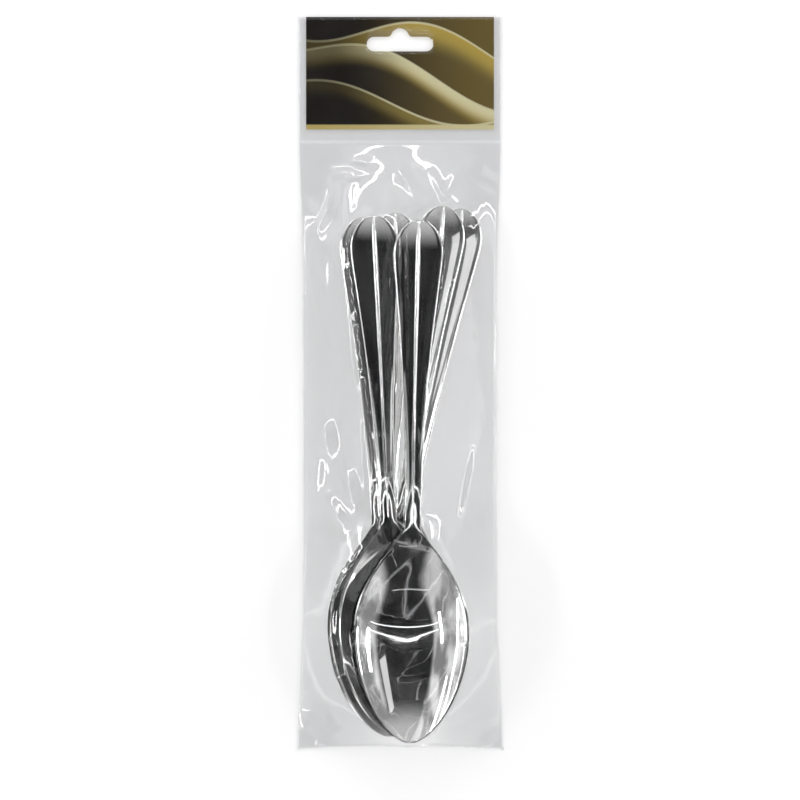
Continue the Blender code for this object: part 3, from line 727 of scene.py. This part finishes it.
FILM_CLEARNESS = (0.966, 0.967, 0.969, 1)  # what one face of the film lets through
FILM_HAZE = (0.80, 0.81, 0.83, 1)
HAZE_NOISE = (60, 3)
HAZE_FADE = (0.3, 0.7, 0.002, 0.008)
FILM_ROUGHNESS = 0.05
FACE_REFLECTION = 0.04  # what one face of clear plastic mirrors, seen straight on
WELD_REFLECTION = 0.012  # at the header seam, where the two inner faces are fused
SEAM_FADE = (SEAM_BAND * 0.4, SEAM_BAND * 0.6, WELD_REFLECTION, FACE_REFLECTION)  # from its middle out
GRAZING_POWER = 5.0
CRINKLE_NOISE = (1, 2)
CRINKLE_SCALE = (150, 34, 150)  # finer across the bag than along it
CRINKLE_DEPTH = 0.00015


def film_material():
    """Clear glossy film: mostly see-through, with a little haze and the mirror gloss of plastic."""
    s = new_material("clear_film")
    clear = s.add("ShaderNodeBsdfTransparent", {"Color": FILM_CLEARNESS}).outputs[0]
    haze = s.add("ShaderNodeBsdfDiffuse", {"Color": FILM_HAZE}).outputs[0]
    hazy = s.shader_mix(s.remap(s.noise(*HAZE_NOISE), *HAZE_FADE), clear, haze)
    crinkled = s.bump(s.noise(*CRINKLE_NOISE, s.scaled_place(CRINKLE_SCALE)), CRINKLE_DEPTH)
    gloss = s.add("ShaderNodeBsdfGlossy", {
        "Color": (1, 1, 1, 1),
        "Roughness": FILM_ROUGHNESS,
        "Normal": crinkled,
    }).outputs[0]
    slant = s.add("ShaderNodeLayerWeight", {"Blend": 0.5}).outputs["Facing"]
    grazing = s.math('MULTIPLY', s.math('POWER', slant, GRAZING_POWER), 1 - FACE_REFLECTION)
    from_seam = s.math('ABSOLUTE', s.math('SUBTRACT', s.split(s.place())[1], SEAM_Y))
    straight_on = s.remap(from_seam, *SEAM_FADE)
    return s.finish(s.shader_mix(s.math('ADD', grazing, straight_on), hazy, gloss))


DARK = (0.010, 0.006, 0.003, 1)
BROWN = (0.22, 0.16, 0.045, 1)
OLIVE = (0.36, 0.28, 0.075, 1)
GOLD = (0.68, 0.50, 0.11, 1)
CREAM = (1.0, 0.94, 0.60, 1)
# The print is drawn in halves of the card's width and height, from its middle.
PRINT_WAVES = (
    # rise, slope, bend, phase, colour of the body's lower part, colour next to its line, width
    (0.62, -0.30, 0.34, 0.9, OLIVE, GOLD, 0.55),
    (0.05, -0.42, 0.30, 2.2, GOLD, CREAM, 0.42),
    (-0.55, -0.20, 0.26, 3.4, BROWN, OLIVE, 0.34),
)
PRINT_WAVE_TURN = 2.4  # radians to half the card's width
PRINT_SOLID_SHARE = 0.3  # of a wave's width, where its body has its full strength
PRINT_LINE = 0.012  # half its width
PRINT_LINE_FADE = (PRINT_LINE, 0.030, 0.85, 0.0)
# Fades along the card, from its left to its right, and the edge of the foot
FIELD_FADE = (-0.6, 1.0, 0.0, 1.0)
BODY_FADE = (-0.75, 0.25, 0.12, 1.0)
LINE_FADE = (-0.9, 0.2, 0.25, 0.9)
FOOT_FADE = (-1.0, 1.0, 0.2, 0.8)
FOOT_EDGE = (-0.93, -0.90, 1.0, 0.0)
PRINT_ROUGHNESS = 0.32
GRAIN_NOISE = (1400, 3)
GRAIN_DEPTH = 0.00002


def print_material():
    """The header's print: a dark field with broad golden waves, fine cream lines and a golden foot."""
    s = new_material("header_print")
    across, up, _ = s.split(s.place())
    x = s.math('DIVIDE', across, CARD_WIDTH / 2)
    y = s.math('DIVIDE', s.math('SUBTRACT', up, TOP_Y - CARD_HEIGHT / 2), CARD_HEIGHT / 2)
    colour = s.colour_mix(s.remap(x, *FIELD_FADE), DARK, BROWN)
    for rise, slope, bend, phase, inner, outer, width in PRINT_WAVES:
        turned = s.math('ADD', s.math('MULTIPLY', x, PRINT_WAVE_TURN), phase)
        swing = s.math('MULTIPLY', s.math('SINE', turned), bend)
        line = s.math('ADD', s.math('ADD', s.math('MULTIPLY', x, slope), swing), rise)
        over = s.math('SUBTRACT', y, line)
        body = s.colour_mix(s.remap(over, -width, 0.0, 0.0, 1.0), inner, outer)
        inside = s.math('MULTIPLY', s.remap(over, -width, -width * PRINT_SOLID_SHARE, 0.0, 1.0),
                        s.remap(over, -PRINT_LINE, PRINT_LINE, 1.0, 0.0))
        colour = s.colour_mix(s.math('MULTIPLY', inside, s.remap(x, *BODY_FADE)), colour, body)
        edge = s.remap(s.math('ABSOLUTE', over), *PRINT_LINE_FADE)
        colour = s.colour_mix(s.math('MULTIPLY', edge, s.remap(x, *LINE_FADE)), colour, CREAM)
    foot = s.colour_mix(s.remap(x, *FOOT_FADE), GOLD, CREAM)
    colour = s.colour_mix(s.remap(y, *FOOT_EDGE), colour, foot)
    shader = s.add("ShaderNodeBsdfPrincipled", {
        "Base Color": colour,
        "Roughness": PRINT_ROUGHNESS,
        "Normal": s.bump(s.noise(*GRAIN_NOISE), GRAIN_DEPTH),
    })
    return s.finish(shader.outputs[0])


def print_card(material):
    """Gives the CAD model's header card its print."""
    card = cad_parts["header_card"]
    card.data.materials.clear()
    card.data.materials.append(material)


FLOOR_COLOUR = (0.80, 0.80, 0.80, 1)
FLOOR_GLOW = 0.42


def floor_material():
    """Pale floor that reads as white to the camera and keeps the object's shadow."""
    s = new_material("pale_floor")
    path = s.add("ShaderNodeLightPath").outputs
    mirrored = s.math('ADD', path["Is Glossy Ray"], path["Is Transmission Ray"])
    seen = s.math('ADD', path["Is Camera Ray"], mirrored, clamp=True)
    diffuse = s.add("ShaderNodeBsdfDiffuse", {"Color": FLOOR_COLOUR}).outputs[0]
    glow = s.add("ShaderNodeEmission", {"Strength": s.math('MULTIPLY', seen, FLOOR_GLOW)}).outputs[0]
    return s.finish(s.add("ShaderNodeAddShader", {0: diffuse, 1: glow}).outputs[0])


# Studio
FLOOR_SIZE = 6.0
FLOOR_BELOW = 0.0001  # the pack, so that the two don't share a plane
SENSOR_WIDTH = 36  # millimetres
CAMERA_HEIGHT = 1.2
CAMERA_Y = -0.0060
VIEW_WIDTH = 0.2915  # what the camera sees of the floor
LAMPS = (
    # name, direction from the middle of the pack, distance, level width, height, watts
    ("left_strip", (-0.77, -0.26, 0.64), 1.0, 0.30, 0.04, 1.00),
    ("right_strip", (0.77, -0.08, 0.64), 1.0, 0.26, 0.04, 0.90),
    ("left_middle_strip", (-0.88, 0.30, 0.45), 1.0, 0.44, 0.03, 0.60),
    ("right_middle_strip", (0.88, 0.26, 0.45), 1.0, 0.50, 0.03, 0.65),
    ("left_low_strip", (-0.95, 0.00, 0.32), 1.0, 0.90, 0.02, 0.70),
    ("right_low_strip", (0.95, 0.05, 0.32), 1.0, 0.90, 0.02, 0.70),
    ("header_strip", (0.05, 0.80, 0.60), 1.1, 1.20, 0.03, 1.70),
    ("foot_strip", (0.0, -0.80, 0.60), 1.1, 0.90, 0.03, 1.20),
    ("bowl_panel", (0.62, 0.20, 1.00), 1.1, 0.45, 0.16, 0.22),
)
LINES = (
    # name, y of its middle, height above the floor, length, how far its ends curve back, width, watts
    ("first_line", -0.130, 1.09, 2.40, 0.13, 0.010, 0.26),
    ("second_line", -0.235, 1.07, 2.40, 0.17, 0.014, 0.31),
)
LINE_PIECES = 8
# Light of the room by direction, as fades of its strength
PATCH_NOISE = (3.2, 2)
PATCHES = (0.38, 0.62, 0.45, 1.55)
WALLS = (0.68, 0.78, 0.95, 0.03)  # by height
HORIZON = (0.15, 0.40, 0.60, 0.0)  # by height
FOOT_SIDE = (-0.75, -0.2, 0.45, 1.0)  # by how far towards the header
HEADER_SIDE = (0.34, 0.62, 0.0, 0.85)  # by how far towards the header


def make_floor():
    """A plain sheet under the pack."""
    bm = bmesh.new()
    bmesh.ops.create_grid(bm, x_segments=1, y_segments=1, size=FLOOR_SIZE / 2)
    mesh = bpy.data.meshes.new("floor")
    bm.to_mesh(mesh)
    bm.free()
    mesh.materials.append(floor_material())
    floor = bpy.data.objects.new("floor", mesh)
    floor.location.z = -FLOOR_BELOW
    bpy.context.scene.collection.objects.link(floor)


def add_lamp(name, place, turn, width, height, watts):
    """A flat rectangular lamp that shines along its own -Z."""
    data = bpy.data.lights.new(name, 'AREA')
    data.shape = 'RECTANGLE'
    data.size, data.size_y = width, height
    data.energy = watts
    lamp = bpy.data.objects.new(name, data)
    lamp.location = place
    lamp.rotation_euler = turn
    bpy.context.scene.collection.objects.link(lamp)


def make_lamps():
    """Strips that face the middle of the pack, and overhead lines that are bent into shallow curves."""
    for name, direction, distance, width, height, watts in LAMPS:
        place = Vector(direction).normalized() * distance
        add_lamp(name, place, (-place).to_track_quat('-Z', 'Y').to_euler(), width, height, watts)
    for name, middle, z, length, back, width, watts in LINES:
        shares = [2 * i / LINE_PIECES - 1 for i in range(LINE_PIECES + 1)]
        ends = [(length / 2 * share, middle - back * share ** 2) for share in shares]
        for number, (a, b) in enumerate(zip(ends, ends[1:]), start=1):
            place = ((a[0] + b[0]) / 2, (a[1] + b[1]) / 2, z)
            turn = (0, 0, math.atan2(b[1] - a[1], b[0] - a[0]))
            add_lamp("%s_%d" % (name, number), place, turn, math.dist(a, b), width, watts / LINE_PIECES)


def make_world():
    """A pale surround for the camera, and for all other rays a dim room that is darkest overhead."""
    world = bpy.data.worlds.new("studio")
    bpy.context.scene.world = world
    s = Shading(world)
    direction = s.add("ShaderNodeTexCoord").outputs["Generated"]
    _, to_header, height = s.split(direction)
    patchy = s.remap(s.noise(*PATCH_NOISE, direction), *PATCHES)
    walls = s.math('MULTIPLY', s.remap(height, *WALLS), patchy)
    lit = s.math('ADD', walls, s.remap(height, *HORIZON))
    round_about = s.math('MULTIPLY', lit, s.remap(to_header, *FOOT_SIDE))
    strength = s.math('MAXIMUM', round_about, s.remap(to_header, *HEADER_SIDE))
    room = s.add("ShaderNodeBackground", {"Strength": strength}).outputs[0]
    pale = s.add("ShaderNodeBackground").outputs[0]
    seen = s.add("ShaderNodeLightPath").outputs["Is Camera Ray"]
    s.finish(s.shader_mix(seen, room, pale), "ShaderNodeOutputWorld")


def make_camera():
    """Looks straight down on the pack."""
    data = bpy.data.cameras.new("camera")
    data.sensor_width = SENSOR_WIDTH
    data.lens = data.sensor_width * CAMERA_HEIGHT / VIEW_WIDTH
    camera = bpy.data.objects.new("camera", data)
    camera.location = (0, CAMERA_Y, CAMERA_HEIGHT)
    bpy.context.scene.collection.objects.link(camera)
    bpy.context.scene.camera = camera


bpy.context.scene.view_settings.view_transform = 'Standard'
make_camera()
make_lamps()
make_world()
make_floor()
spoons = make_spoons(metal_material())
make_film(film_material(), spoons)
print_card(print_material())
